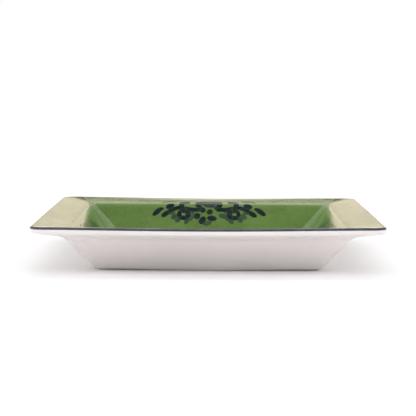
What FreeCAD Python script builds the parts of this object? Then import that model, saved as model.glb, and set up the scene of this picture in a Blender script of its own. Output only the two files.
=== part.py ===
import FreeCAD, Part
import math
import os
import Sketcher

# A square porcelain tray: a cast body with a wide flange and sloping walls, standing on a low unglazed foot ring,
# with painted layers on its upper side. X is the width, Y the depth, with the front at -Y, and +Z is up. The origin
# is the middle of the tray on the plane that the foot stands on.

# Driving dimensions in millimetres, and angles in degrees.
SIZES = [
    ("overall_width", 200.0),      # over the painted line on the lip, the same in X and Y
    ("overall_height", 28.8),      # from the foot to the top of the lip
    ("lip_thickness", 3.9),        # height of the flange's outer edge
    ("flange_width", 19.2),        # from the lip's edge in to the fold where the wall begins
    ("flange_fall", 1.9),          # how much lower the fold is than the lip
    ("wall_angle", 51.5),          # of the well's walls, from the horizontal
    ("outer_wall_angle", 48.9),
    ("floor_height", 4.6),         # top of the body's floor above the foot's plane
    ("under_fold_inset", 16.5),    # from the lip's edge in to the fold under the flange
    ("under_fold_height", 20.7),
    ("foot_height", 1.0),
    ("foot_width", 3.0),
    ("foot_inset", 2.0),           # from the foot of the wall in to the ring
    ("rim_radius", 7.0),           # corners in plan
    ("outer_radius", 3.5),
    ("well_radius", 1.0),
    ("under_fold_fillet", 4.0),
    ("lip_fillet", 0.9),
    ("base_fillet", 0.6),
    ("foot_fillet", 0.3),
    ("paint", 0.2),                # thickness of a ground colour and of the painted line
    ("transfer", 0.15),            # thickness of a leaf or petal on top of it
    ("panel_gap", 0.4),            # from a panel's edge to the fold or mitre beside it
    ("line_height", 1.2),          # of the painted line, down the lip's edge
    ("line_width", 1.4),           # of the painted line, across the lip's top
    ("panel_cut", 2.8),            # off a flange panel's ends, where the lip's corner is rounded
    ("stem_width", 0.7),
    ("stroke_gap", 0.5),           # between a leaf and the stem it grows from
]

doc = FreeCAD.newDocument("porcelain_tray")
sheet = doc.addObject("Spreadsheet::Sheet", "Dimensions")
sheet.Label = "Dimensions"
for row, (alias, value) in enumerate(SIZES, start=1):
    sheet.set(f"A{row}", alias)
    sheet.set(f"B{row}", str(value))
    sheet.setAlias(f"B{row}", alias)
doc.recompute()


def size(alias):
    """A driving dimension as a number, for the shapes that no expression reaches."""
    return float(sheet.get(alias))


def cell(text):
    """An expression in which each driving dimension is looked up in the sheet."""
    words = sorted((alias for alias, _ in SIZES), key=len, reverse=True)
    for number, alias in enumerate(words):
        text = text.replace(alias, f"<{number}>")
    for number, alias in enumerate(words):
        text = text.replace(f"<{number}>", f"Dimensions.{alias}")
    return text


# Half widths of the square sections, from the outside of the foot up to the lip and down into the well.
LIP_HALF = "(overall_width / 2 - paint)"
LINE_INNER_HALF = "(overall_width / 2 - line_width)"
FOLD_HALF = "(overall_width / 2 - flange_width)"
UNDER_FOLD_HALF = "(overall_width / 2 - under_fold_inset)"
LIP_TOP = "(overall_height - paint)"
LIP_BOTTOM = "(overall_height - lip_thickness)"
FOLD_HEIGHT = "(overall_height - paint - flange_fall)"
WALL_RUN = "tan(90 deg - wall_angle * 1 deg)"
OUTER_WALL_RUN = "tan(90 deg - outer_wall_angle * 1 deg)"
BASE_HALF = f"({UNDER_FOLD_HALF} - (under_fold_height - foot_height) * {OUTER_WALL_RUN})"
FLOOR_HALF = f"({FOLD_HALF} - ({FOLD_HEIGHT} - floor_height) * {WALL_RUN})"


# ---------------------------------------------------------------- sketches

def new_body(label):
    body = doc.addObject("PartDesign::Body", label)
    body.Label = label
    return body


def new_sketch(body, name, height=None):
    """A sketch parallel to the body's own XY plane, at a height given by an expression."""
    sketch = body.newObject("Sketcher::SketchObject", name)
    plane = next(part for part in body.Origin.OriginFeatures if part.Role == "XY_Plane")
    sketch.AttachmentSupport = [(plane, "")]
    sketch.MapMode = "FlatFace"
    if height:
        sketch.setExpression(".AttachmentOffset.Base.z", cell(f"({height}) * 1 mm"))
    return sketch


def add_rule(sketch, kind, first, second, expression, name):
    """A named driving distance whose value follows the sheet."""
    index = sketch.addConstraint(Sketcher.Constraint(kind, *first, *second, 10.0))
    sketch.renameConstraint(index, name)
    sketch.setExpression(f"Constraints.{name}", cell(f"({expression}) * 1 mm"))


def add_rounded_square(sketch, half, radius, prefix):
    """A centred square with rounded corners: four sides and four tangent arcs."""
    start, arc_radius = 50.0, 5.0
    vector = FreeCAD.Vector
    up = vector(0, 0, 1)
    flat = start - arc_radius
    first = len(sketch.Geometry)
    ends = [((-flat, -start), (flat, -start)), ((start, -flat), (start, flat)),
            ((flat, start), (-flat, start)), ((-start, flat), (-start, -flat))]
    for (x0, y0), (x1, y1) in ends:
        sketch.addGeometry(Part.LineSegment(vector(x0, y0, 0), vector(x1, y1, 0)), False)
    centres = [(flat, -flat), (flat, flat), (-flat, flat), (-flat, -flat)]
    for turn, (x, y) in enumerate(centres):
        circle = Part.Circle(vector(x, y, 0), up, arc_radius)
        begin = math.radians(-90 + 90 * turn)
        arc = Part.ArcOfCircle(circle, begin, begin + math.pi / 2)
        sketch.addGeometry(arc, False)
    for side in range(4):
        line, arc, following = first + side, first + 4 + side, first + (side + 1) % 4
        sketch.addConstraint(Sketcher.Constraint("Tangent", line, 2, arc, 1))
        sketch.addConstraint(Sketcher.Constraint("Tangent", arc, 2, following, 1))
    for side, kind in enumerate(["Horizontal", "Vertical", "Horizontal", "Vertical"]):
        sketch.addConstraint(Sketcher.Constraint(kind, first + side))
    for turn in range(1, 4):
        sketch.addConstraint(Sketcher.Constraint("Equal", first + 4, first + 4 + turn))
    index = sketch.addConstraint(Sketcher.Constraint("Radius", first + 4, arc_radius))
    sketch.renameConstraint(index, f"{prefix}_radius")
    sketch.setExpression(f"Constraints.{prefix}_radius", cell(f"({radius}) * 1 mm"))
    add_rule(sketch, "DistanceX", (-1, 1), (first + 1, 1), half, f"{prefix}_right")
    add_rule(sketch, "DistanceX", (first + 3, 1), (-1, 1), half, f"{prefix}_left")
    add_rule(sketch, "DistanceY", (-1, 1), (first + 2, 1), half, f"{prefix}_back")
    add_rule(sketch, "DistanceY", (first, 1), (-1, 1), half, f"{prefix}_front")


def square_section(body, name, height, half, radius):
    sketch = new_sketch(body, name, height)
    add_rounded_square(sketch, half, radius, "edge")
    return sketch


def square_ring(body, name, height, outer, inner, outer_radius, inner_radius):
    sketch = new_sketch(body, name, height)
    add_rounded_square(sketch, outer, outer_radius, "outside")
    add_rounded_square(sketch, inner, inner_radius, "inside")
    return sketch


def even_outline(body, name, corners):
    """An outline standing on the sketch's X axis and even about its Y axis.

    corners holds the expressions for x and y of its right-hand corners, from the foot up.
    """
    vector = FreeCAD.Vector
    sketch = new_sketch(body, name)
    count = len(corners)
    right = [(60 + 10 * number, 10 * number) for number in range(count)]
    points = right + [(-x, y) for x, y in reversed(right)]
    for (x0, y0), (x1, y1) in zip(points, points[1:] + points[:1]):
        sketch.addGeometry(Part.LineSegment(vector(x0, y0, 0), vector(x1, y1, 0)), False)
    for side in range(2 * count):
        sketch.addConstraint(Sketcher.Constraint("Coincident", side, 2, (side + 1) % (2 * count), 1))
    sketch.addConstraint(Sketcher.Constraint("PointOnObject", 0, 1, -1))
    sketch.addConstraint(Sketcher.Constraint("PointOnObject", 2 * count - 1, 1, -1))
    for number, (across, up) in enumerate(corners):
        left = 2 * count - 1 - number
        add_rule(sketch, "DistanceX", (-1, 1), (number, 1), across, f"right_{number}")
        add_rule(sketch, "DistanceX", (left, 1), (-1, 1), across, f"left_{number}")
        if number:
            add_rule(sketch, "DistanceY", (-1, 1), (number, 1), up, f"right_rise_{number}")
            add_rule(sketch, "DistanceY", (-1, 1), (left, 1), up, f"left_rise_{number}")
    return sketch


# ---------------------------------------------------------------- features

def pad(body, sketch, name, length):
    feature = body.newObject("PartDesign::Pad", name)
    feature.Profile = sketch
    feature.setExpression("Length", cell(f"({length}) * 1 mm"))
    return feature


def loft(body, kind, name, low, high):
    feature = body.newObject(f"PartDesign::{kind}", name)
    feature.Profile = low
    feature.Sections = [high]
    feature.Ruled = True
    return feature


def level_edges(shape, height, reach):
    """Names of the level edges at one height that run round the tray at least as far out as reach."""
    names = []
    for number, edge in enumerate(shape.Edges, start=1):
        box = edge.BoundBox
        level = abs(box.ZMin - height) < 0.01 and abs(box.ZMax - height) < 0.01
        middle = edge.valueAt((edge.FirstParameter + edge.LastParameter) / 2)
        if level and max(abs(middle.x), abs(middle.y)) > reach:
            names.append(f"Edge{number}")
    return names


def fillet(body, base, name, edges, radius):
    feature = body.newObject("PartDesign::Fillet", name)
    feature.Base = (base, edges)
    feature.setExpression("Radius", cell(f"{radius} * 1 mm"))
    doc.recompute()
    return feature


# ---------------------------------------------------------------- body and foot

def make_porcelain_body():
    """Walls and flange lofted between square sections, then hollowed from above by two more lofts."""
    body = new_body("porcelain_body")
    base = square_section(body, "base_outline", "foot_height", BASE_HALF, "outer_radius")
    under_fold = square_section(body, "under_fold_outline", "under_fold_height", UNDER_FOLD_HALF, "outer_radius")
    loft(body, "AdditiveLoft", "outer_walls", base, under_fold)
    flange_root = square_section(body, "flange_root_outline", "under_fold_height", UNDER_FOLD_HALF, "outer_radius")
    lip_bottom = square_section(body, "lip_bottom_outline", LIP_BOTTOM, LIP_HALF, "rim_radius")
    loft(body, "AdditiveLoft", "flange_underside", flange_root, lip_bottom)
    lip = square_section(body, "lip_outline", LIP_BOTTOM, LIP_HALF, "rim_radius")
    pad(body, lip, "lip", f"{LIP_TOP} - {LIP_BOTTOM}")
    doc.recompute()
    before = body.Shape.Volume

    floor = square_section(body, "floor_outline", "floor_height", FLOOR_HALF, "well_radius")
    fold = square_section(body, "fold_outline", FOLD_HEIGHT, FOLD_HALF, "well_radius")
    loft(body, "SubtractiveLoft", "well", floor, fold)
    dish_low = square_section(body, "flange_inner_outline", FOLD_HEIGHT, FOLD_HALF, "well_radius")
    dish_high = square_section(body, "flange_outer_outline", LIP_TOP, LINE_INNER_HALF, "rim_radius")
    dish = loft(body, "SubtractiveLoft", "flange_top", dish_low, dish_high)
    doc.recompute()
    assert body.Shape.Volume < before * 0.6, "the well was not cut"

    under = level_edges(dish.Shape, size("under_fold_height"), 60)
    under_fillet = fillet(body, dish, "under_fold_fillet_round", under, "under_fold_fillet")
    lip_low = level_edges(under_fillet.Shape, size("overall_height") - size("lip_thickness"), 90)
    lip_round = fillet(body, under_fillet, "lip_round", lip_low, "lip_fillet")
    base_low = level_edges(lip_round.Shape, size("foot_height"), 50)
    fillet(body, lip_round, "base_round", base_low, "base_fillet")
    return body


def make_foot_ring():
    body = new_body("foot_ring")
    outer = f"{BASE_HALF} - foot_inset"
    ring = square_ring(body, "ring_outline", None, outer, f"{outer} - foot_width", "outer_radius", "well_radius")
    ring_pad = pad(body, ring, "ring", "foot_height")
    doc.recompute()
    standing = level_edges(ring_pad.Shape, 0.0, 40)
    fillet(body, ring_pad, "standing_edges", standing, "foot_fillet")
    return body


def make_rim_line():
    """The painted line: a thin band round the lip's edge, turned in over its top."""
    body = new_body("rim_line")
    half = "overall_width / 2"
    outside = "rim_radius + paint"
    side = square_ring(body, "side_outline", "overall_height - line_height", half, LIP_HALF, outside, "rim_radius")
    pad(body, side, "side_band", "line_height - paint")
    top = square_ring(body, "top_outline", LIP_TOP, half, LINE_INNER_HALF, outside, "rim_radius")
    top_pad = pad(body, top, "top_band", "paint")
    doc.recompute()
    upper = level_edges(top_pad.Shape, size("overall_height"), size("overall_width") / 2 - size("line_width") / 2)
    fillet(body, top_pad, "line_round", upper, "paint * 0.7")
    return body


# ---------------------------------------------------------------- ground colours

# The front is the side at -Y. A side's turn about Z takes the shape made at the back round to that side.
SIDES = {"back": 0, "left": 90, "front": 180, "right": 270}


def side_placement(turn, half, height, tilt):
    """Stands a shape drawn in its own XY plane on the slope at one side of the tray.

    Its X runs along the side, its Y up the slope and away from the middle, and its Z out of the surface.
    """
    about_z = FreeCAD.Rotation(FreeCAD.Vector(0, 0, 1), turn)
    foot = about_z.multVec(FreeCAD.Vector(0, half, height))
    return FreeCAD.Placement(foot, about_z.multiply(FreeCAD.Rotation(FreeCAD.Vector(1, 0, 0), tilt)))


def well_half(height):
    """Half the width of the well at one height above the foot's plane."""
    fold_half = size("overall_width") / 2 - size("flange_width")
    fold_height = size("overall_height") - size("paint") - size("flange_fall")
    return fold_half - (fold_height - height) / math.tan(math.radians(size("wall_angle")))


def make_panel(label, placement, corners):
    body = new_body(label)
    outline = even_outline(body, f"{label}_outline", corners)
    pad(body, outline, f"{label}_coat", "paint")
    body.Placement = placement
    return body


def make_ground_panels():
    """The well's ground colour: one panel on each wall and one on the floor, just short of the mitres."""
    margin = size("panel_gap")
    angle = math.radians(size("wall_angle"))
    start = size("floor_height") + margin * math.sin(angle)
    slope = f"({FOLD_HEIGHT} - floor_height) / sin(wall_angle * 1 deg) - 2 * panel_gap"
    edge = "well_radius + panel_gap"
    for side, turn in SIDES.items():
        placement = side_placement(turn, well_half(start), start, size("wall_angle"))
        low = f"{FLOOR_HALF} - {edge} + panel_gap * cos(wall_angle * 1 deg)"
        high = f"{FOLD_HALF} - {edge} - panel_gap * cos(wall_angle * 1 deg)"
        make_panel(f"ground_{side}", placement, [(low, "0"), (high, slope)])
    body = new_body("ground_floor")
    outline = square_section(body, "floor_panel_outline", None, f"{FLOOR_HALF} - {edge}", "well_radius")
    pad(body, outline, "floor_coat", "paint")
    body.Placement = FreeCAD.Placement(FreeCAD.Vector(0, 0, size("floor_height")), FreeCAD.Rotation())


def make_flange_panels():
    """The flange's panels, from just outside the fold out to the painted line, cut off across the lip's corners."""
    run = size("flange_width") - size("line_width")
    tilt = math.degrees(math.atan2(size("flange_fall"), run))
    margin = size("panel_gap")
    fold_half = size("overall_width") / 2 - size("flange_width")
    fold_height = size("overall_height") - size("paint") - size("flange_fall")
    rise = margin * size("flange_fall") / run
    edge = "well_radius + panel_gap"
    length = "sqrt(pow(flange_width - line_width; 2) + pow(flange_fall; 2)) - 2 * panel_gap"
    for side, turn in SIDES.items():
        placement = side_placement(turn, fold_half + margin, fold_height + rise, tilt)
        low = f"{FOLD_HALF} - {edge} + panel_gap"
        corners = [(low, "0"), (f"{low} + {length} - panel_cut", f"{length} - panel_cut"),
                   (f"{low} + {length} - 3 * panel_cut", length)]
        make_panel(f"flange_panel_{side}", placement, corners)


# ---------------------------------------------------------------- transfers

LEAF_BELLY = 0.45        # how far along a leaf it is widest, as a share of its length
LEAF_SLIMNESS = 0.43     # a branch leaf's width over its length
LEAF_SPREAD = 52         # degrees between a branch and the leaves along it
PETAL_ROOT = 0.28        # where a petal starts, as a share of the blossom's radius
PETAL_FULLNESS = 0.53    # a petal's width over the room that it has
HEART = 0.2              # the blossom's centre, as a share of its radius


def leaf(length, width):
    """A pointed leaf from the origin along +X, between two arcs."""
    vector = FreeCAD.Vector
    tip = vector(length, 0, 0)
    bellies = [vector(length * LEAF_BELLY, half, 0) for half in (width / 2, -width / 2)]
    edges = [Part.Arc(vector(0, 0, 0), belly, tip).toShape() for belly in bellies]
    return Part.Face(Part.Wire(edges))


def petal(inner, outer, width):
    """A round-ended petal that points away from the origin along +X."""
    middle = FreeCAD.Vector((inner + outer) / 2, 0, 0)
    ellipse = Part.Ellipse(middle, (outer - inner) / 2, min(width, outer - inner) / 2)
    return Part.Face(Part.Wire(ellipse.toShape()))


def disc(radius):
    circle = Part.Circle(FreeCAD.Vector(0, 0, 0), FreeCAD.Vector(0, 0, 1), radius)
    return Part.Face(Part.Wire(circle.toShape()))


def turned(face, x, y, angle):
    face.Placement = FreeCAD.Placement(FreeCAD.Vector(x, y, 0), FreeCAD.Rotation(FreeCAD.Vector(0, 0, 1), angle))
    return face


def blossom(x, y, radius, petals=5):
    """Separate petals round a small centre."""
    width = 2 * radius * PETAL_FULLNESS * math.tan(math.pi / petals)
    turns = [90 + 360 * number / petals for number in range(petals)]
    faces = [turned(petal(radius * PETAL_ROOT, radius, width), x, y, turn) for turn in turns]
    return faces + [turned(disc(radius * HEART), x, y, 0)]


def stem(length, bend):
    """A thin bowed strip from the origin to (length, 0)."""
    vector = FreeCAD.Vector
    half = size("stem_width") / 2
    edges = []
    for offset in (-half, half):
        arc = Part.Arc(vector(0, offset, 0), vector(length / 2, bend + offset, 0), vector(length, offset, 0))
        edges.append(arc.toShape())
    for along in (0, length):
        edges.append(Part.makeLine(vector(along, -half, 0), vector(along, half, 0)))
    return Part.Face(Part.Wire(Part.__sortEdges__(edges)))


def branch(x, y, angle, length, bend, pairs, leaf_length):
    """A bowed stem with pairs of leaves set off it and one leaf at its tip."""
    rotation = FreeCAD.Rotation(FreeCAD.Vector(0, 0, 1), angle)
    clear = size("stem_width") / 2 + size("stroke_gap")
    faces = [turned(stem(length, bend), x, y, angle)]
    for step in range(pairs):
        share = (step + 0.7) / pairs
        bow = 4 * bend * share * (1 - share)
        for way in (-1, 1):
            root = rotation.multVec(FreeCAD.Vector(length * share, bow + way * clear, 0))
            one = leaf(leaf_length * (1 - 0.25 * share), leaf_length * LEAF_SLIMNESS)
            faces.append(turned(one, x + root.x, y + root.y, angle + way * LEAF_SPREAD))
    tip = rotation.multVec(FreeCAD.Vector(length + size("stroke_gap"), 0, 0))
    faces.append(turned(leaf(leaf_length, leaf_length * LEAF_SLIMNESS), x + tip.x, y + tip.y, angle))
    return faces


def add_transfer(label, faces, placement, thickness):
    """Raises flat leaves and petals into thin solids, kept together as one sheet of separate pieces."""
    lift = FreeCAD.Vector(0, 0, thickness)
    feature = doc.addObject("Part::Feature", label)
    feature.Label = label
    feature.Shape = Part.makeCompound([face.extrude(lift) for face in faces])
    feature.Placement = placement
    return feature


def mirrored(faces):
    """The same faces reflected in X = 0."""
    return [face.mirror(FreeCAD.Vector(0, 0, 0), FreeCAD.Vector(1, 0, 0)) for face in faces]


def wall_spray_faces(slope):
    """A spray for one wall, even about its middle: y runs up the slope from the floor to the fold."""
    side = branch(5, slope - 7, 0, 27, 1.2, 3, 5.0)
    side += blossom(17, slope - 17, 4.2)
    side += [turned(leaf(6.0, 2.6), 5.5, slope - 18.5, -30),
             turned(leaf(6.5, 2.6), 22.5, slope - 15.5, 10),
             turned(leaf(6.0, 2.6), 22.5, slope - 18.5, -25)]
    middle = blossom(0, slope - 12, 5.4)
    middle += [turned(leaf(6.0, 2.8), 0, slope - 18, 270)]
    return middle + side + mirrored(side)


def floor_spray_faces():
    """A rosette of blossoms and branches for the floor, the same towards each side."""
    faces = blossom(0, 0, 9.0, petals=6)
    for turn in range(0, 360, 90):
        arm = branch(12, 0, 0, 20, 1.6, 3, 7.0)
        arm += blossom(24, 15, 5.4)
        arm += [turned(leaf(8, 3.4), 11.5, 9.5, 40)]
        for face in arm:
            face.rotate(FreeCAD.Vector(0, 0, 0), FreeCAD.Vector(0, 0, 1), turn)
        faces += arm
    return faces


def corner_sprig_faces():
    """Leaves for one end of a flange panel, running out towards the lip's corner beside the mitre."""
    corner = size("overall_width") / 2
    return [turned(leaf(9.5, 3.0), corner - 18.0, 13.2, 2),
            turned(leaf(9.0, 3.0), corner - 21.5, 8.8, 18),
            turned(leaf(8.0, 2.6), corner - 24.5, 4.2, 26)]


def make_transfers():
    """The sprays on the walls and floor, and the sprigs at the flange's corners."""
    angle = math.radians(size("wall_angle"))
    paint = size("paint")
    fold_height = size("overall_height") - paint - size("flange_fall")
    slope = (fold_height - size("floor_height")) / math.sin(angle)
    lift = FreeCAD.Placement(FreeCAD.Vector(0, 0, paint), FreeCAD.Rotation())
    for side, turn in SIDES.items():
        wall = side_placement(turn, well_half(size("floor_height")), size("floor_height"), size("wall_angle"))
        add_transfer(f"wall_spray_{side}", wall_spray_faces(slope), wall.multiply(lift), size("transfer"))
    floor = FreeCAD.Placement(FreeCAD.Vector(0, 0, size("floor_height") + paint), FreeCAD.Rotation())
    add_transfer("floor_spray", floor_spray_faces(), floor, size("transfer"))

    fold_half = size("overall_width") / 2 - size("flange_width")
    tilt = math.degrees(math.atan2(size("flange_fall"), size("flange_width") - size("line_width")))
    sprigs = []
    for turn in (SIDES["back"], SIDES["front"]):
        place = side_placement(turn, fold_half, fold_height, tilt).multiply(lift)
        for face in corner_sprig_faces() + mirrored(corner_sprig_faces()):
            face.Placement = place.multiply(face.Placement)
            sprigs.append(face)
    add_transfer("corner_sprigs", sprigs, FreeCAD.Placement(), size("transfer"))


# ---------------------------------------------------------------- build, check and write

def check_and_write():
    """Stops on a failed feature or a bad shape, and writes each sub-part under its label."""
    doc.recompute()
    for item in doc.Objects:
        assert not {"Invalid", "Error"} & set(item.State), f"{item.Label} failed: {item.State}"
    os.makedirs("parts", exist_ok=True)
    for item in doc.Objects:
        whole = item.TypeId == "PartDesign::Body" or item.TypeId == "Part::Feature"
        if not whole:
            continue
        shape = item.Shape
        assert not shape.isNull() and shape.isValid(), f"{item.Label} has a bad shape"
        assert shape.Volume > 0, f"{item.Label} is empty"
        shape.exportStep(f"parts/{item.Label}.step")
        box = shape.BoundBox
        print(f"{item.Label:20s} solids {len(shape.Solids):3d}  volume {shape.Volume:10.2f}  "
              f"z {box.ZMin:6.2f} to {box.ZMax:6.2f}  width {box.XLength:7.2f}  depth {box.YLength:7.2f}")


make_porcelain_body()
make_foot_ring()
make_rim_line()
make_ground_panels()
make_flange_panels()
make_transfers()
check_and_write()
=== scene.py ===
import math
import random

import bpy
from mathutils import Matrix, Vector


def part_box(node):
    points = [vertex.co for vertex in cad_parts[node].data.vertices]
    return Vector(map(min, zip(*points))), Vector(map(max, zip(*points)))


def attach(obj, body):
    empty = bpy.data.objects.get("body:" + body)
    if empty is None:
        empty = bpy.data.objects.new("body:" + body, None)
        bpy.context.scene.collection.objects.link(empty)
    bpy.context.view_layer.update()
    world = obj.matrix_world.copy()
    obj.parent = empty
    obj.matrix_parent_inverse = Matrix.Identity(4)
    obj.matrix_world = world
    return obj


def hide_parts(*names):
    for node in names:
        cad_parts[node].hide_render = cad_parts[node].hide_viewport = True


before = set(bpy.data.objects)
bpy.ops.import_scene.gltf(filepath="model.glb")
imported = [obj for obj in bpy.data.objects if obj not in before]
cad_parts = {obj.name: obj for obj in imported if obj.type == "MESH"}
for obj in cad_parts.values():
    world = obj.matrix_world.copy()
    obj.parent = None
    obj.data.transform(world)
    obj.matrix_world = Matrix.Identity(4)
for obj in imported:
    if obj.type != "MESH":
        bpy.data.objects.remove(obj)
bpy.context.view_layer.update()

# ---------------------------------------------------------------- sizes, in metres
# The tray is square and even about both middle planes. Its section is drawn once, from the middle of the floor
# up the wall, out over the flange, round the lip and back underneath. Every layer is a stretch of that section.

MM = 0.001
rim_low, rim_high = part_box("rim_line")
body_low, body_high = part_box("porcelain_body")
_, foot_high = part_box("foot_ring")
floor_low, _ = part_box("ground_floor")
flange_low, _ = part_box("flange_panel_back")

HALF = body_high.x                      # half the width of the bare porcelain
TOP = body_high.z
BASE_Z = body_low.z
FLOOR_Z = floor_low.z
FOLD_HALF = flange_low.y - 0.4 * MM     # where the flange turns down into the wall
FOLD_Z = flange_low.z
WALL_ANGLE = math.radians(51.5)
LIP_THICKNESS = 3.7 * MM
UNDER_FOLD_HALF = HALF - 16.3 * MM
UNDER_FOLD_Z = 20.7 * MM
FLOOR_HALF = FOLD_HALF - (FOLD_Z - FLOOR_Z) / math.tan(WALL_ANGLE)
BASE_HALF = foot_high.x + 2.0 * MM
CROWN_HALF = HALF - 8 * MM              # where the flange, seen from its lip, starts to fall more steeply
CROWN_FALL = 0.62 * MM
MIDDLE = 8 * MM                         # half width of the patch that closes the section's two ends
FOOT_WIDTH = 3.0 * MM
FOOT_SUNK = 0.15 * MM                   # how far the foot reaches up into the porcelain
FOOT_WEAR = 0.35 * MM                   # rounding of its worn edges
FOOT_PLAN_RADIUS = 3.5 * MM

LINE_TOP_WIDTH = 1.5 * MM               # of the painted line, across the lip's top
LINE_HEIGHT = 1.15 * MM                 # and down its edge
SAG = 0.85 * MM                         # how far the middle of the front and back lips sank in the firing
SIDE_SAG = -0.2 * MM
TWIST = 0.22 * MM                       # and how far the corners are out of one plane
BASE_SAG = 0.85 * MM                    # of the outer wall's foot, in the middle of a side
BASE_SAG_HEIGHT = 8 * MM                # and how far up the wall it reaches
GROUND_LIFT = 0.12 * MM
PANEL_LIFT = 0.12 * MM
LINE_LIFT = 0.15 * MM
TRANSFER_LIFT = 0.13 * MM
LAYER_STEP = 0.0015 * MM                # between strokes that lie over one another
COAT = 0.1 * MM                         # thickness of every painted layer
STROKE_COAT = 0.05 * MM                 # and of every brush stroke, part of it under the ground's surface

STRAIGHT_STEPS = 30                     # mesh columns along the straight of a side
CORNER_STEPS = 8                        # and round each half corner
SIDES = {"back": 0, "left": 90, "front": 180, "right": 270}


# ---------------------------------------------------------------- the section

def rounded_section(corners, steps=7):
    """Points along a path whose corners are rounded.

    corners holds (r, z, rounding, plan_radius). Each point comes back as (r, z, plan_radius, normal_r, normal_z).
    """
    path = []
    for number, (r, z, rounding, plan_radius) in enumerate(corners):
        here = Vector((r, z))
        if rounding == 0:
            path.append((here, plan_radius))
            continue
        before = (here - Vector(corners[number - 1][:2])).normalized()
        after = (Vector(corners[number + 1][:2]) - here).normalized()
        turn = math.acos(max(-1.0, min(1.0, before.dot(after))))
        reach = rounding * math.tan(turn / 2)
        start = here - before * reach
        side = 1 if before.x * after.y - before.y * after.x > 0 else -1
        centre = start + Vector((-before.y, before.x)) * side * rounding
        for step in range(steps + 1):
            swing = side * turn * step / steps
            arm = start - centre
            turned = Vector((arm.x * math.cos(swing) - arm.y * math.sin(swing),
                             arm.x * math.sin(swing) + arm.y * math.cos(swing)))
            path.append((centre + turned, plan_radius))
    points = []
    for number, (here, plan_radius) in enumerate(path):
        ahead = path[min(number + 1, len(path) - 1)][0]
        behind = path[max(number - 1, 0)][0]
        along = (ahead - behind).normalized()
        points.append((here.x, here.y, plan_radius, -along.y, along.x))
    return points


# Each corner: r, z, the rounding seen in the section, and the radius of the tray's corner seen from above.
SECTION = rounded_section([
    (MIDDLE, FLOOR_Z, 0, 2 * MM),
    (FLOOR_HALF, FLOOR_Z, 5 * MM, 8 * MM),
    (FOLD_HALF, FOLD_Z, 6 * MM, 3.5 * MM),
    (CROWN_HALF, TOP - CROWN_FALL, 60 * MM, 5 * MM),
    (HALF, TOP, 1.1 * MM, 7 * MM),
    (HALF, TOP - LIP_THICKNESS, 2.2 * MM, 7 * MM),
    (UNDER_FOLD_HALF, UNDER_FOLD_Z, 12 * MM, 11 * MM),
    (BASE_HALF, BASE_Z, 1.0 * MM, 6 * MM),
    (MIDDLE, BASE_Z, 0, 2 * MM),
])


def lengths_along(points):
    """How far along the path each of its points lies."""
    total = 0.0
    result = [0.0]
    for one, other in zip(points, points[1:]):
        total += math.hypot(other[0] - one[0], other[1] - one[1])
        result.append(total)
    return result


REACH = lengths_along(SECTION)


def section_at(distance):
    """The section at one distance along it, from the middle of the floor."""
    for number in range(len(REACH) - 1):
        if REACH[number + 1] >= distance:
            share = (distance - REACH[number]) / (REACH[number + 1] - REACH[number])
            one, other = SECTION[number], SECTION[number + 1]
            return tuple(a + (b - a) * share for a, b in zip(one, other))
    return SECTION[-1]


def stretch(start, end, spacing=2.0 * MM):
    """Section points from one distance to another: its own points and enough between them."""
    marks = {start, end}
    marks.update(mark for mark in REACH if start < mark < end)
    marks = sorted(marks)
    full = [marks[0]]
    for mark in marks[1:]:
        pieces = max(1, math.ceil((mark - full[-1]) / spacing))
        begin = full[-1]
        full.extend(begin + (mark - begin) * piece / pieces for piece in range(1, pieces + 1))
    return full


def distance_where(condition):
    """The first distance along the section at which condition(r, z) holds, to a twentieth of a millimetre."""
    step = 0.05 * MM
    distance = 0.0
    while distance < REACH[-1]:
        r, z = section_at(distance)[:2]
        if condition(r, z):
            return distance
        distance += step
    raise ValueError("the section never gets there")


COVE = distance_where(lambda r, z: r > FLOOR_HALF - 1 * MM)
FOLD = distance_where(lambda r, z: r > FOLD_HALF)
LINE_START = distance_where(lambda r, z: r > HALF - LINE_TOP_WIDTH)
LINE_END = distance_where(lambda r, z: r > HALF - 0.05 * MM and z < TOP - LINE_HEIGHT)


# ---------------------------------------------------------------- the surface

def columns():
    """Places across one side, from mitre to mitre: how far along the straight, and how far round a corner."""
    left = [(-1.0, -1 + step / CORNER_STEPS) for step in range(CORNER_STEPS)]
    straight = [(-1 + 2 * step / STRAIGHT_STEPS, 0.0) for step in range(STRAIGHT_STEPS + 1)]
    right = [(1.0, step / CORNER_STEPS) for step in range(1, CORNER_STEPS + 1)]
    return left + straight + right


COLUMNS = columns()


def smooth(value):
    """0 below 0, 1 above 1, and an even S between."""
    held = max(0.0, min(1.0, value))
    return held * held * (3 - 2 * held)


def fired(point, turn, place, share):
    """A point of one side after the firing, in which its lip and the foot of its wall sank a little."""
    r, z, _, _, normal_z = place
    bow = (1 - share * share) ** 2
    flange_only = smooth((r - FOLD_HALF) / (HALF - FOLD_HALF))
    whole_wall = smooth((z - FLOOR_Z) / (TOP - FLOOR_Z))
    sag, reach = {0: (SAG, flange_only), 180: (SAG, whole_wall)}.get(turn, (SIDE_SAG, flange_only))
    point.z -= whole_wall * TWIST * (1 + point.x * point.y / (HALF * HALF)) + reach * sag * bow
    if normal_z < 0:
        height = smooth((BASE_Z + BASE_SAG_HEIGHT - z) / BASE_SAG_HEIGHT)
        outside = smooth((r - foot_high.x) / (BASE_HALF - foot_high.x))
        point.z -= BASE_SAG * bow * height * outside
    return point


def turned_about_z(point, turn):
    """A point turned by so many degrees about the tray's upright axis."""
    angle = math.radians(turn)
    x, y, z = point
    return Vector((x * math.cos(angle) - y * math.sin(angle), x * math.sin(angle) + y * math.cos(angle), z))


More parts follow.
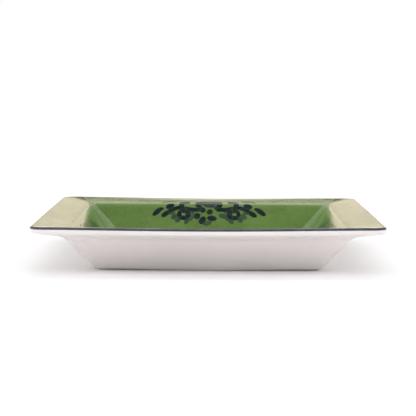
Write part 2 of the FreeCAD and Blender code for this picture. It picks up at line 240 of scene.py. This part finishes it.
def surface_point(turn, column, place, lift=0.0):
    """A point of the tray's skin, or of a layer that lies lift above it."""
    r, z, plan_radius, normal_r, normal_z = place
    along, round_share = column
    swing = abs(round_share) * math.pi / 4
    way = -1 if round_share < 0 else 1
    flat = r - plan_radius
    x = along * flat + way * plan_radius * math.sin(swing)
    y = flat + plan_radius * math.cos(swing)
    x += way * math.sin(swing) * normal_r * lift
    y += math.cos(swing) * normal_r * lift
    return fired(turned_about_z((x, y, z + normal_z * lift), turn), turn, place, min(1.0, abs(x) / r))


def wall_point(turn, across, distance, lift):
    """A point on one side, a distance across from the side's middle and a distance along the section."""
    place = section_at(distance)
    r, z, _, normal_r, normal_z = place
    point = turned_about_z((across, r + normal_r * lift, z + normal_z * lift), turn)
    return fired(point, turn, place, min(1.0, abs(across) / r))


# ---------------------------------------------------------------- meshes

def sharpen_outline(mesh):
    """Keeps a sheet's shading flat up to its outline once it has been given a thickness."""
    uses = {}
    for polygon in mesh.polygons:
        for key in polygon.edge_keys:
            uses[key] = uses.get(key, 0) + 1
    for edge in mesh.edges:
        edge.use_edge_sharp = uses[edge.key] == 1


def add_piece(name, points, faces, material, nodes, tones=None, thickness=0.0):
    """Makes one piece of the tray, and hides the CAD nodes it stands for."""
    mesh = bpy.data.meshes.new(name)
    mesh.from_pydata([tuple(point) for point in points], [], faces)
    mesh.validate()
    for key, values in (tones or {}).items():
        attribute = mesh.attributes.new(key, "FLOAT", "POINT")
        attribute.data.foreach_set("value", values)
    for polygon in mesh.polygons:
        polygon.use_smooth = True
    if thickness:
        sharpen_outline(mesh)
    mesh.materials.append(material)
    piece = bpy.data.objects.new(name, mesh)
    bpy.context.scene.collection.objects.link(piece)
    if thickness:
        shell = piece.modifiers.new("coat", "SOLIDIFY")
        shell.thickness = thickness
        shell.offset = -1
    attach(piece, "root")
    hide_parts(*nodes)
    return piece


def ring_points(place, lift=0.0):
    """One closed ring round the tray, without the doubled points where two sides meet."""
    return [surface_point(turn, column, place, lift)
            for turn in (0, 90, 180, 270) for column in reversed(COLUMNS[1:])]


def ring_faces(rings, count):
    """Faces that join closed rings of count points, each ring to the next."""
    faces = []
    for ring in range(rings - 1):
        for number in range(count):
            following = (number + 1) % count
            faces.append((ring * count + number, (ring + 1) * count + number,
                          (ring + 1) * count + following, ring * count + following))
    return faces


def add_body(material):
    """The porcelain itself, as one closed skin."""
    places = [section_at(mark) for mark in stretch(0.0, REACH[-1], 3 * MM)]
    points = [point for place in places for point in ring_points(place)]
    count = len(ring_points(places[0]))
    faces = ring_faces(len(places), count)
    points.append(Vector((0, 0, FLOOR_Z)))
    points.append(Vector((0, 0, BASE_Z)))
    last = (len(places) - 1) * count
    for number in range(count):
        following = (number + 1) % count
        faces.append((len(points) - 2, number, following))
        faces.append((len(points) - 1, last + following, last + number))
    return add_piece("porcelain_skin", points, faces, material, ["porcelain_body"])


def add_foot(material):
    """The ground foot: a square ring with worn, softened edges."""
    outer = foot_high.x
    inner = outer - FOOT_WIDTH
    top = BASE_Z + FOOT_SUNK
    wear = FOOT_WEAR
    round_angles = (math.pi / 8, math.pi / 4, 3 * math.pi / 8)
    edge = [(inner, top), (inner, wear)]
    edge += [(inner + wear - wear * math.cos(angle), wear - wear * math.sin(angle)) for angle in round_angles]
    edge += [(inner + wear, 0.0), (outer - wear, 0.0)]
    edge += [(outer - wear + wear * math.sin(angle), wear - wear * math.cos(angle)) for angle in round_angles]
    edge += [(outer, wear), (outer, top)]
    edge.reverse()
    places = [(r, z, FOOT_PLAN_RADIUS + r - outer, 0, 0) for r, z in edge]
    points = [point for place in places for point in ring_points(place)]
    count = len(ring_points(places[0]))
    faces = ring_faces(len(places), count)
    last = (len(places) - 1) * count
    for number in range(count):
        following = (number + 1) % count
        faces.append((last + number, number, following, last + following))
    return add_piece("foot_biscuit", points, faces, material, ["foot_ring"])


def add_side_panel(name, side, start, end, lift, material, nodes, edge_from_both_ends=True):
    """A painted layer over one side of the tray, from mitre to mitre; it keeps each point's distance from its
    outer edge, or from both edges, and its colour pales towards them.
    """
    marks = stretch(start, end)
    points, near_edge = [], []
    for mark in marks:
        for column in COLUMNS:
            points.append(surface_point(SIDES[side], column, section_at(mark), lift))
            near_edge.append((min(mark - start, end - mark) if edge_from_both_ends else end - mark) / MM)
    count = len(COLUMNS)
    faces = [(row * count + number, row * count + number + 1,
              (row + 1) * count + number + 1, (row + 1) * count + number)
             for row in range(len(marks) - 1) for number in range(count - 1)]
    return add_piece(name, points, faces, material, nodes, {"near_edge": near_edge}, thickness=COAT)


def add_ring_layer(name, start, end, lift, material, nodes, middle=False):
    """A painted layer right round the tray, or over its floor if middle is set."""
    marks = stretch(start, end, 1.0 * MM if not middle else 4 * MM)
    points, near_edge = [], []
    for mark in marks:
        ring = ring_points(section_at(mark), lift)
        points += ring
        near_edge += [(end - mark) / MM if middle else min(mark - start, end - mark) / MM] * len(ring)
    count = len(ring)
    faces = ring_faces(len(marks), count)
    if middle:
        points.append(Vector((0, 0, FLOOR_Z + lift)))
        near_edge.append(end / MM)
        faces += [(len(points) - 1, number, (number + 1) % count) for number in range(count)]
    return add_piece(name, points, faces, material, nodes, {"near_edge": near_edge}, thickness=COAT)


# ---------------------------------------------------------------- brush strokes

class Strokes:
    """Leaves, petals and stems painted on a flat sheet: x across, y up the wall, in millimetres."""

    def __init__(self, seed):
        self.chance = random.Random(seed)
        self.points, self.faces, self.depth, self.tone, self.layer = [], [], [], [], []
        self.count = 0

    def add(self, spine, widths, tone):
        """One stroke along a spine of points, with a half width at each of them."""
        self.count += 1
        first = len(self.points)
        for number, ((x, y), half) in enumerate(zip(spine, widths)):
            ahead = spine[min(number + 1, len(spine) - 1)]
            behind = spine[max(number - 1, 0)]
            along = Vector((ahead[0] - behind[0], ahead[1] - behind[1])).normalized()
            for across in (-1, -0.6, 0, 0.6, 1):
                self.points.append((x - along.y * across * half, y + along.x * across * half))
                end = min(number, len(spine) - 1 - number)
                self.depth.append(0.0 if end == 0 else 1 - abs(across))
                self.tone.append(tone)
                self.layer.append(self.count)
        for row in range(len(spine) - 1):
            for lane in range(4):
                low = first + row * 5 + lane
                self.faces.append((low, low + 5, low + 6, low + 1))

    def leaf(self, x, y, angle, length, width, bend=0.15, tone=0.0, steps=10):
        """A leaf that starts at (x, y), swells and runs out to a point."""
        turn = math.radians(angle + self.chance.uniform(-4, 4))
        spine, widths = [], []
        for step in range(steps + 1):
            share = step / steps
            along = length * share
            off = bend * length * 4 * share * (1 - share)
            spine.append((x + along * math.cos(turn) - off * math.sin(turn),
                          y + along * math.sin(turn) + off * math.cos(turn)))
            widths.append(width / 2 * max(0.04, math.sin(math.pi * share ** 0.8) ** 0.8))
        self.add(spine, widths, tone)

    def petal(self, x, y, angle, near, far, width, tone=0.0):
        """A blunt petal, widest towards its outer end."""
        turn = math.radians(angle)
        spine, widths = [], []
        steps = 9
        for step in range(steps + 1):
            share = step / steps
            along = near + (far - near) * share
            spine.append((x + along * math.cos(turn), y + along * math.sin(turn)))
            widths.append(width / 2 * max(0.05, math.sin(math.pi * share ** 1.35) ** 0.6))
        self.add(spine, widths, tone)

    def bud(self, x, y, angle, length, width, tone=0.0):
        """A blunt stroke round the middle point (x, y)."""
        turn = math.radians(angle + self.chance.uniform(-5, 5))
        steps = 9
        spine, widths = [], []
        for step in range(steps + 1):
            share = step / steps
            along = (share - 0.5) * length
            spine.append((x + along * math.cos(turn), y + along * math.sin(turn)))
            widths.append(width / 2 * max(0.05, (4 * share * (1 - share)) ** 0.5))
        self.add(spine, widths, tone)

    def wash(self, x, y, length, width, angle):
        """A soft thin patch of the wash colour."""
        self.bud(x, y, angle, length, width, WASH)

    def blossom(self, x, y, radius, petals=5, start=90, tone=0.0, fullness=1.0):
        width = 2 * radius * 0.6 * math.tan(math.pi / petals) * fullness
        for number in range(petals):
            angle = start + 360 * number / petals + self.chance.uniform(-5, 5)
            far = radius * self.chance.uniform(0.93, 1.05)
            self.petal(x, y, angle, radius * 0.2, far, width, tone)

    def stem(self, points, start_width, end_width, tone=0.0, steps=14):
        """A stem along a smooth curve through given points."""
        spine = []
        for step in range(steps + 1):
            place = step / steps * (len(points) - 1)
            number = min(int(place), len(points) - 2)
            share = place - number
            before = points[max(number - 1, 0)]
            one, other = points[number], points[number + 1]
            after = points[min(number + 2, len(points) - 1)]
            spine.append(tuple(
                0.5 * (2 * b + (c - a) * share + (2 * a - 5 * b + 4 * c - d) * share ** 2
                       + (3 * b - a - 3 * c + d) * share ** 3)
                for a, b, c, d in zip(before, one, other, after)))
        widths = [(start_width + (end_width - start_width) * step / steps) / 2 for step in range(steps + 1)]
        self.add(spine, widths, tone)

    def mirrored(self, draw):
        """Draws the same thing twice, the second time reflected in x = 0."""
        for way in (1, -1):
            first = len(self.points)
            draw()
            if way < 0:
                self.points[first:] = [(-x, y) for x, y in self.points[first:]]
                begin = next(number for number, face in enumerate(self.faces) if min(face) >= first)
                self.faces[begin:] = [tuple(reversed(face)) for face in self.faces[begin:]]


DARK = 0.0                              # tones of a stroke
MIDDLING = 0.5
WASH = 0.75
LIGHT = 1.0


def draw_wall_spray(strokes, slope):
    """A garland of leaves and blossoms that hangs from the fold; slope is the wall's height along its slope."""

    def washes():
        for x, down, length, width, angle in ((9.4, 11.6, 6.2, 4.4, -15), (12.8, 13.6, 5.6, 4.2, -50),
                                              (15.0, 16.4, 4.6, 3.2, -65), (22.6, 12.4, 6.4, 4.4, -20),
                                              (20.8, 15.0, 4.8, 3.6, -45), (24.6, 9.6, 4.4, 2.6, -10),
                                              (12.4, 9.0, 5.0, 2.4, -10)):
            strokes.wash(x, slope - down, length, width, angle)

    def bough():
        strokes.stem([(7.9, slope - 1.2), (6.8, slope - 4.0), (4.6, slope - 6.8)], 3.8, 3.6)
        strokes.stem([(5.0, slope - 6.4), (10.5, slope - 6.7), (15, slope - 6.0), (19.0, slope - 5.6)], 3.5, 3.6)
        strokes.stem([(12.8, slope - 0.6), (15.5, slope - 0.8), (18.6, slope - 1.6)], 2.2, 3.0)
        strokes.stem([(17.8, slope - 0.6), (18.4, slope - 3.0), (17.6, slope - 6.4)], 3.4, 3.6)
        strokes.stem([(18.0, slope - 4.6), (22, slope - 5.6), (26, slope - 7.6), (29, slope - 9.8)], 3.2, 3.4)
        strokes.bud(26.2, slope - 3.9, -26, 6.4, 4.3)
        strokes.bud(29.2, slope - 10.2, -42, 7.2, 4.0)
        strokes.bud(34.6, slope - 8.2, -43, 9.4, 3.9)
        strokes.bud(32.4, slope - 6.4, -20, 4.2, 2.6)
        strokes.leaf(21.5, slope - 0.5, -3, 11.0, 1.3, tone=MIDDLING)

    def side_blossom():
        strokes.blossom(16.7, slope - 10.4, 4.7, start=78, fullness=1.6)
        strokes.bud(17.7, slope - 10.4, 80, 2.2, 1.5, tone=LIGHT)

    strokes.mirrored(washes)
    strokes.wash(-1.2, slope - 17.6, 6.4, 3.8, 15)
    strokes.wash(0.6, slope - 3.8, 9.0, 2.6, 0)
    strokes.mirrored(bough)
    strokes.stem([(-8.8, slope - 1.2), (0, slope - 1.4), (8.8, slope - 1.2)], 3.2, 3.2)
    strokes.mirrored(side_blossom)
    for x, down, angle, length, width in ((-4.0, 7.0, 80, 4.4, 3.9), (0.5, 8.4, 60, 4.6, 4.2),
                                          (-7.9, 11.8, 75, 5.2, 4.2), (-4.4, 15.2, 68, 6.8, 4.6),
                                          (2.0, 13.6, -12, 6.8, 4.6)):
        strokes.bud(x, slope - down, angle, length, width)


def draw_floor_spray(strokes):
    """A round bouquet for the floor, the same towards each side of the tray."""
    arms = []
    for turn in (0, 90, 180, 270):
        first = len(strokes.points)
        strokes.leaf(10, 6, 20, 9, 4.2, tone=WASH)
        strokes.leaf(10, -6, -24, 9, 4.2, tone=WASH)
        strokes.leaf(25, 8, 64, 8, 4.0, tone=WASH)
        strokes.stem([(9, 0), (18, 1.6), (27, 0.6), (33, 2.4)], 2.4, 0.9)
        for along, way in ((15, 1), (18, -1), (22, 1), (25, -1), (29, 1)):
            strokes.leaf(along, 1.2 + 0.6 * way, way * 46, 7.6, 3.4)
        strokes.leaf(33, 2.2, 6, 6.5, 3.0)
        strokes.stem([(11, 8), (17, 13), (20, 17)], 1.8, 0.9)
        strokes.blossom(23, 19.5, 5.8, start=turn, fullness=0.9)
        strokes.blossom(23, 19.5, 2.6, start=turn + 36, tone=MIDDLING)
        arms.append((first, len(strokes.points), math.radians(turn)))
    for first, last, angle in arms:
        strokes.points[first:last] = [(x * math.cos(angle) - y * math.sin(angle),
                                       x * math.sin(angle) + y * math.cos(angle))
                                      for x, y in strokes.points[first:last]]
    strokes.blossom(0, 0, 10.5, petals=6, tone=MIDDLING, fullness=1.0)
    strokes.blossom(0, 0, 8.0, petals=6, start=60, tone=DARK, fullness=0.8)


def draw_corner_sprig(strokes):
    """Leaves on the front and back flanges beside the mitre; y is the distance out from the fold."""
    strokes.bud(89.2, 14.6, 20, 8.0, 4.8)
    strokes.bud(88.4, 11.2, -10, 7.8, 4.6)
    strokes.bud(86.4, 8.2, 35, 6.0, 3.6)
    strokes.wash(81.2, 12.6, 6.4, 3.6, 12)


def add_sprigs(strokes, material):
    """The same sprigs at both ends of the back flange and of the front flange."""
    points, half = [], len(strokes.points) // 2
    for number, ((x, y), layer) in enumerate(zip(strokes.points, strokes.layer)):
        turn = SIDES["back"] if number < half else SIDES["front"]
        points.append(wall_point(turn, x * MM, FOLD + y * MM, TRANSFER_LIFT + layer * LAYER_STEP))
    tones = {"depth": strokes.depth, "tone": strokes.tone}
    return add_piece("sprigs", points, strokes.faces, material, ["corner_sprigs"], tones,
                     thickness=STROKE_COAT)


def add_transfer(name, strokes, place, material, nodes):
    """Lays a sheet of strokes on the tray; place turns (x, y) in metres and a lift into a point."""
    points = [place(x * MM, y * MM, TRANSFER_LIFT + layer * LAYER_STEP)
              for (x, y), layer in zip(strokes.points, strokes.layer)]
    tones = {"depth": strokes.depth, "tone": strokes.tone}
    return add_piece(name, points, strokes.faces, material, nodes, tones, thickness=STROKE_COAT)


# ---------------------------------------------------------------- materials

class Shader:
    """A few short ways to wire a material's nodes."""

    def __init__(self, name):
        self.material = bpy.data.materials.new(name)
        self.material.use_nodes = True
        self.tree = self.material.node_tree
        self.tree.nodes.clear()
        self.output = self.tree.nodes.new("ShaderNodeOutputMaterial")
        self.surface = self.tree.nodes.new("ShaderNodeBsdfPrincipled")
        self.link(self.surface.outputs["BSDF"], self.output.inputs["Surface"])
        self.where = self.tree.nodes.new("ShaderNodeTexCoord").outputs["Object"]

    def link(self, source, target):
        self.tree.links.new(source, target)

    def put(self, value, target):
        if isinstance(value, bpy.types.NodeSocket):
            self.link(value, target)
        else:
            target.default_value = value

    def noise(self, scale, detail=3.0, roughness=0.5, distortion=0.0):
        node = self.tree.nodes.new("ShaderNodeTexNoise")
        self.link(self.where, node.inputs["Vector"])
        node.inputs["Scale"].default_value = scale
        node.inputs["Detail"].default_value = detail
        node.inputs["Roughness"].default_value = roughness
        node.inputs["Distortion"].default_value = distortion
        return node.outputs["Fac"]

    def cells(self, scale):
        node = self.tree.nodes.new("ShaderNodeTexVoronoi")
        node.feature = "F1"
        self.link(self.where, node.inputs["Vector"])
        node.inputs["Scale"].default_value = scale
        return node.outputs["Distance"]

    def read(self, name):
        node = self.tree.nodes.new("ShaderNodeAttribute")
        node.attribute_name = name
        return node.outputs["Fac"]

    def math(self, operation, first, second):
        node = self.tree.nodes.new("ShaderNodeMath")
        node.operation = operation
        self.put(first, node.inputs[0])
        self.put(second, node.inputs[1])
        return node.outputs[0]

    def spread(self, value, low, high, to_low=0.0, to_high=1.0):
        """value from low..high to to_low..to_high, held at the ends."""
        node = self.tree.nodes.new("ShaderNodeMapRange")
        node.clamp = True
        self.put(value, node.inputs["Value"])
        for key, number in (("From Min", low), ("From Max", high), ("To Min", to_low), ("To Max", to_high)):
            node.inputs[key].default_value = number
        return node.outputs["Result"]

    def mix(self, share, first, second):
        node = self.tree.nodes.new("ShaderNodeMix")
        node.data_type = "RGBA"
        self.put(share, node.inputs["Factor"])
        for value, socket in ((first, node.inputs["A"]), (second, node.inputs["B"])):
            self.put(value if isinstance(value, bpy.types.NodeSocket) else (*value, 1.0), socket)
        return node.outputs["Result"]

    def colour(self, value):
        self.put(value, self.surface.inputs["Base Color"])

    def gloss(self, low, high, scale):
        """Roughness that wanders between two values."""
        self.link(self.spread(self.noise(scale), 0.3, 0.7, low, high), self.surface.inputs["Roughness"])

    def bump(self, height, strength, distance):
        node = self.tree.nodes.new("ShaderNodeBump")
        node.inputs["Strength"].default_value = strength
        node.inputs["Distance"].default_value = distance
        self.link(height, node.inputs["Height"])
        self.link(node.outputs["Normal"], self.surface.inputs["Normal"])


def white_glaze():
    """Warm white porcelain under a clear glaze, with faint clouding and a few iron specks."""
    shader = Shader("white_glaze")
    share = shader.spread(shader.noise(28, 4), 0.35, 0.65)
    clouds = shader.mix(share, (0.83, 0.775, 0.755), (0.86, 0.810, 0.790))
    specks = shader.spread(shader.cells(160), 0.035, 0.06, 0.35, 0.0)
    rare = shader.spread(shader.noise(45, 1), 0.60, 0.64)
    shader.colour(shader.mix(shader.math("MULTIPLY", specks, rare), clouds, (0.42, 0.36, 0.30)))
    shader.gloss(0.12, 0.22, 90)
    shader.bump(shader.noise(70, 2), 0.03, 0.05 * MM)
    shader.surface.inputs["Coat Weight"].default_value = 0.15
    shader.surface.inputs["Coat Roughness"].default_value = 0.12
    return shader.material


def biscuit():
    """Unglazed porcelain, ground flat and a little grubby."""
    shader = Shader("biscuit")
    share = shader.spread(shader.noise(900, 3), 0.35, 0.65)
    grain = shader.mix(share, (0.66, 0.62, 0.56), (0.77, 0.74, 0.69))
    rubbed = shader.spread(shader.noise(60, 4), 0.52, 0.66, 0.0, 0.5)
    shader.colour(shader.mix(rubbed, grain, (0.47, 0.44, 0.40)))
    shader.surface.inputs["Roughness"].default_value = 0.85
    shader.bump(shader.noise(1400, 4), 0.5, 0.06 * MM)
    return shader.material


def enamel(name, low, high, thin_and_lit, edge_mm):
    """A fired ground colour: brushed clouds of two tones, paler towards its edges; the pale band under the fold
    is a painted highlight of the fold's rounding, partly also the enamel thinning out.
    """
    shader = Shader(name)
    clouds = shader.noise(42, 5, 0.6)
    grain = shader.noise(420, 3)
    body = shader.mix(shader.spread(clouds, 0.35, 0.65), low, high)
    body = shader.mix(shader.spread(grain, 0.45, 0.75, 0.0, 0.35), body, thin_and_lit)
    # Paler towards the layer's edge: under the fold this is a painted highlight of the rounded fold, partly
    # enamel thinning.
    edge = shader.spread(shader.read("near_edge"), 0.0, edge_mm, 0.75, 0.0)
    shader.colour(shader.mix(edge, body, thin_and_lit))
    shader.gloss(0.05, 0.11, 60)
    shader.bump(shader.noise(90, 2), 0.12, 0.1 * MM)
    return shader.material


def painted_reflection_panel(name, low, high, mark, edge_mm=1.5):
    """A pale flange colour, clouded like old paper, with faint greenish marks: a painted reflection of a warm
    room in the green glaze, paler still towards its edges.
    """
    shader = Shader(name)
    clouds = shader.noise(55, 6, 0.65, 0.4)
    body = shader.mix(shader.spread(clouds, 0.35, 0.65), low, high)
    flecks = shader.spread(shader.noise(190, 4, 0.6, 0.8), 0.48, 0.66, 0.0, 0.8)
    body = shader.mix(flecks, body, mark)
    edge = shader.spread(shader.read("near_edge"), 0.0, edge_mm, 0.5, 0.0)
    shader.colour(shader.mix(edge, body, high))
    shader.gloss(0.06, 0.14, 70)
    shader.bump(shader.noise(150, 3), 0.7, 0.12 * MM)
    return shader.material


def navy_line():
    """A brushed line: denser and thinner along its length, lighter at its edges."""
    shader = Shader("navy_line")
    load = shader.spread(shader.noise(130, 4), 0.35, 0.7)
    body = shader.mix(load, (0.012, 0.020, 0.040), (0.035, 0.050, 0.085))
    edge = shader.spread(shader.read("near_edge"), 0.0, 0.25, 0.6, 0.0)
    shader.colour(shader.mix(edge, body, (0.10, 0.12, 0.17)))
    shader.gloss(0.08, 0.18, 120)
    shader.bump(shader.noise(300, 2), 0.2, 0.05 * MM)
    return shader.material


def dark_transfer():
    """Blue-black leaves over paler blue-green washes, each stroke wetter in its middle."""
    shader = Shader("dark_transfer")
    load = shader.noise(260, 4, 0.6)
    dark = shader.mix(shader.spread(load, 0.35, 0.7), (0.004, 0.009, 0.010), (0.013, 0.026, 0.024))
    wash = shader.mix(shader.spread(load, 0.35, 0.65), (0.026, 0.058, 0.036), (0.052, 0.094, 0.050))
    body = shader.mix(shader.spread(shader.read("tone"), 0.0, 0.75), dark, wash)
    body = shader.mix(shader.spread(shader.read("tone"), 0.8, 1.0), body, (0.150, 0.235, 0.120))
    wet = shader.spread(shader.math("ADD", shader.read("depth"), shader.spread(load, 0.3, 0.7, -0.15, 0.15)),
                        0.02, 0.30, 0.5, 0.0)
    shader.colour(shader.mix(wet, body, (0.085, 0.150, 0.055)))
    shader.gloss(0.12, 0.22, 120)
    shader.bump(shader.noise(300, 2), 0.15, 0.04 * MM)
    return shader.material


# ---------------------------------------------------------------- the room

def add_floor():
    """A plain pale table top, large enough to fill every view."""
    reach = 30.0
    corners = [(-reach, -reach, 0), (reach, -reach, 0), (reach, reach, 0), (-reach, reach, 0)]
    mesh = bpy.data.meshes.new("table_top")
    mesh.from_pydata(corners, [], [(0, 1, 2, 3)])
    floor = bpy.data.objects.new("table_top", mesh)
    bpy.context.scene.collection.objects.link(floor)
    shader = Shader("table_top")
    shader.colour(shader.mix(shader.noise(1.5, 2), (0.90, 0.90, 0.90), (0.92, 0.92, 0.92)))
    shader.surface.inputs["Roughness"].default_value = 0.9
    shader.surface.inputs["Specular IOR Level"].default_value = 0.0
    mesh.materials.append(shader.material)


# What the room gives off, by elevation in degrees: beyond the tray, at its two sides and behind the camera.
# The bands were tuned until the glaze's reflections looked right from the front, and were not measured. The warm
# low band beyond the tray is what the side walls mirror as a pale zone under the fold.
BACK_LIGHT = [(0.0, (1.18, 0.98, 0.77)), (4.6, (1.18, 0.98, 0.77)), (6.0, (0.74, 0.68, 0.48)),
              (6.7, (0.74, 0.68, 0.49)), (7.3, (0.94, 0.87, 0.65)), (9.0, (0.94, 0.87, 0.65)),
              (11.0, (0.36, 0.33, 0.25)), (12.5, (0.30, 0.28, 0.22)), (24.0, (0.34, 0.32, 0.27)),
              (34.0, (0.68, 0.66, 0.60)), (60.0, (0.85, 0.85, 0.84)), (67.0, (2.75, 2.77, 2.82)),
              (90.0, (2.75, 2.77, 2.82))]
SIDE_LIGHT = [(0.0, (1.0, 1.0, 1.02)), (10.0, (1.0, 1.0, 1.02)), (14.0, (2.30, 2.31, 2.36)),
              (28.0, (2.30, 2.31, 2.36)), (33.0, (0.95, 0.95, 0.97)), (61.0, (0.95, 0.95, 0.97)),
              (74.0, (1.60, 1.61, 1.64))]
FRONT_LIGHT = [(0.0, (0.65, 0.65, 0.66)), (10.0, (0.65, 0.65, 0.66)), (14.0, (0.05, 0.05, 0.05)),
               (27.0, (0.05, 0.05, 0.05)), (34.0, (2.15, 2.14, 2.16)), (60.0, (2.15, 2.14, 2.16)),
               (68.0, (0.10, 0.10, 0.10))]
BRIGHTEST = 3.0
SECTOR_EDGES = (0.50, 0.77)             # cosine of the bearing over which one sector passes into the next


def sky_by_elevation(tree, height, stops):
    """A ramp over the sine of the elevation."""
    ramp = tree.nodes.new("ShaderNodeValToRGB")
    tree.links.new(height, ramp.inputs["Fac"])
    elements = ramp.color_ramp.elements
    while len(elements) < len(stops):
        elements.new(0.5)
    for element, (elevation, colour) in zip(elements, stops):
        element.position = math.sin(math.radians(elevation))
        element.color = (*(channel / BRIGHTEST for channel in colour), 1.0)
    return ramp.outputs["Color"]


def sector_share(tree, bearing, flip):
    """How much a direction belongs to the sector ahead (or behind, if flip is -1)."""
    turned = tree.nodes.new("ShaderNodeMath")
    turned.operation = "MULTIPLY"
    tree.links.new(bearing, turned.inputs[0])
    turned.inputs[1].default_value = flip
    share = tree.nodes.new("ShaderNodeMapRange")
    share.interpolation_type = "SMOOTHSTEP"
    tree.links.new(turned.outputs[0], share.inputs["Value"])
    share.inputs["From Min"].default_value = SECTOR_EDGES[0]
    share.inputs["From Max"].default_value = SECTOR_EDGES[1]
    return share.outputs["Result"]


def blend_colours(tree, share, first, second):
    node = tree.nodes.new("ShaderNodeMix")
    node.data_type = "RGBA"
    tree.links.new(share, node.inputs["Factor"])
    tree.links.new(first, node.inputs["A"])
    tree.links.new(second, node.inputs["B"])
    return node.outputs["Result"]


def add_room_light():
    """Soft light from all round, in three sectors, and plain white where the camera looks past the tray."""
    world = bpy.data.worlds.new("studio")
    bpy.context.scene.world = world
    world.use_nodes = True
    tree = world.node_tree
    tree.nodes.clear()
    output = tree.nodes.new("ShaderNodeOutputWorld")
    where = tree.nodes.new("ShaderNodeTexCoord").outputs["Generated"]
    split = tree.nodes.new("ShaderNodeSeparateXYZ")
    tree.links.new(where, split.inputs[0])
    level = tree.nodes.new("ShaderNodeCombineXYZ")
    tree.links.new(split.outputs["X"], level.inputs["X"])
    tree.links.new(split.outputs["Y"], level.inputs["Y"])
    unit = tree.nodes.new("ShaderNodeVectorMath")
    unit.operation = "NORMALIZE"
    tree.links.new(level.outputs[0], unit.inputs[0])
    bearing = tree.nodes.new("ShaderNodeSeparateXYZ")
    tree.links.new(unit.outputs[0], bearing.inputs[0])
    back, side, front = (sky_by_elevation(tree, split.outputs["Z"], stops)
                         for stops in (BACK_LIGHT, SIDE_LIGHT, FRONT_LIGHT))
    sky = blend_colours(tree, sector_share(tree, bearing.outputs["Y"], 1.0), side, back)
    sky = blend_colours(tree, sector_share(tree, bearing.outputs["Y"], -1.0), sky, front)
    room = tree.nodes.new("ShaderNodeBackground")
    tree.links.new(sky, room.inputs["Color"])
    room.inputs["Strength"].default_value = BRIGHTEST
    backdrop = tree.nodes.new("ShaderNodeBackground")
    backdrop.inputs["Color"].default_value = (1.0, 1.0, 1.0, 1.0)
    path = tree.nodes.new("ShaderNodeLightPath")
    choose = tree.nodes.new("ShaderNodeMixShader")
    tree.links.new(path.outputs["Is Camera Ray"], choose.inputs["Fac"])
    tree.links.new(room.outputs["Background"], choose.inputs[1])
    tree.links.new(backdrop.outputs["Background"], choose.inputs[2])
    tree.links.new(choose.outputs["Shader"], output.inputs["Surface"])


CAMERA_ASIDE = 0.014                    # of the tray's width: where the camera stands, and how high above the rim
CAMERA_AWAY = 4.627
CAMERA_ABOVE_RIM = 0.436
CAMERA_LENS = 129.4                     # millimetres on a 36 mm sensor
CAMERA_DOWN = 5.293                     # degrees: its tilt, roll and pan
CAMERA_ROLL = -0.261
CAMERA_PAN = 0.222


def add_camera():
    """A long lens a little above the rim, looking straight at the front side."""
    width = rim_high.x - rim_low.x
    place = Vector((CAMERA_ASIDE * width, -CAMERA_AWAY * width, rim_high.z + CAMERA_ABOVE_RIM * width))
    data = bpy.data.cameras.new("camera")
    data.sensor_width = 36
    data.lens = CAMERA_LENS
    data.clip_start = 0.01
    data.clip_end = 200
    camera = bpy.data.objects.new("camera", data)
    bpy.context.scene.collection.objects.link(camera)
    camera.location = place
    camera.rotation_euler = (math.radians(90 - CAMERA_DOWN), math.radians(CAMERA_ROLL), math.radians(CAMERA_PAN))
    bpy.context.scene.camera = camera


# ---------------------------------------------------------------- the tray

bpy.context.scene.view_settings.view_transform = "Standard"

add_camera()
add_floor()
add_room_light()

# The green's pale colour, laid over 4.5 mm below the fold, is a painted highlight of the fold's rounding.
green = enamel("green_ground", (0.100, 0.175, 0.042), (0.130, 0.225, 0.058), (0.200, 0.280, 0.105), 4.5)
# Both flange colours are painted reflection: the green glaze mirroring a warm room, laid on as a pale warm colour
# at the sides and a pale green at front and back.
warm_reflection_paint = painted_reflection_panel("cream_panel", (0.28, 0.29, 0.18), (0.41, 0.40, 0.27), (0.13, 0.16, 0.08))
green_reflection_paint = painted_reflection_panel("sage_panel", (0.20, 0.26, 0.12), (0.33, 0.36, 0.20), (0.13, 0.19, 0.08))
transfer = dark_transfer()

add_body(white_glaze())
add_foot(biscuit())
add_ring_layer("lip_line", LINE_START, LINE_END, LINE_LIFT, navy_line(), ["rim_line"])
add_ring_layer("green_floor", 0.0, COVE, GROUND_LIFT, green, ["ground_floor"], middle=True)

WALL_SLOPE = (FOLD - COVE) / MM
REFLECTION_PAINT_OVERRUN = 2.2 * MM                # how far the side flanges' painted reflection colour runs over the fold and down the wall
GARLAND_RISE = {"back": 1.0, "left": -6.5, "front": 1.0, "right": -6.5}     # millimetres, up each wall

for number, (side, turn) in enumerate(SIDES.items()):
    beside = side in ("left", "right")
    border = FOLD - REFLECTION_PAINT_OVERRUN if beside else FOLD
    add_side_panel(f"green_wall_{side}", side, COVE, border, GROUND_LIFT, green,
                   [f"ground_{side}"], edge_from_both_ends=False)
    # Each flange gets a painted reflection colour; the pale warm one at the sides also runs over the fold and
    # down the wall.
    pale, slot = (warm_reflection_paint, "cream_panel") if beside else (green_reflection_paint, "sage_panel")
    add_side_panel(f"flange_{side}", side, border, LINE_START, PANEL_LIFT, pale, [f"flange_panel_{side}"])
    spray = Strokes(11 + number)
    draw_wall_spray(spray, WALL_SLOPE + GARLAND_RISE[side])
    add_transfer(f"spray_{side}", spray, lambda x, y, lift, turn=turn: wall_point(turn, x, COVE + y, lift),
                 transfer, [f"wall_spray_{side}"])

bouquet = Strokes(5)
draw_floor_spray(bouquet)
add_transfer("spray_floor", bouquet, lambda x, y, lift: Vector((x, y, FLOOR_Z + lift)),
             transfer, ["floor_spray"])

sprigs = Strokes(23)
for _ in ("back", "front"):
    sprigs.mirrored(lambda: draw_corner_sprig(sprigs))
add_sprigs(sprigs, transfer)
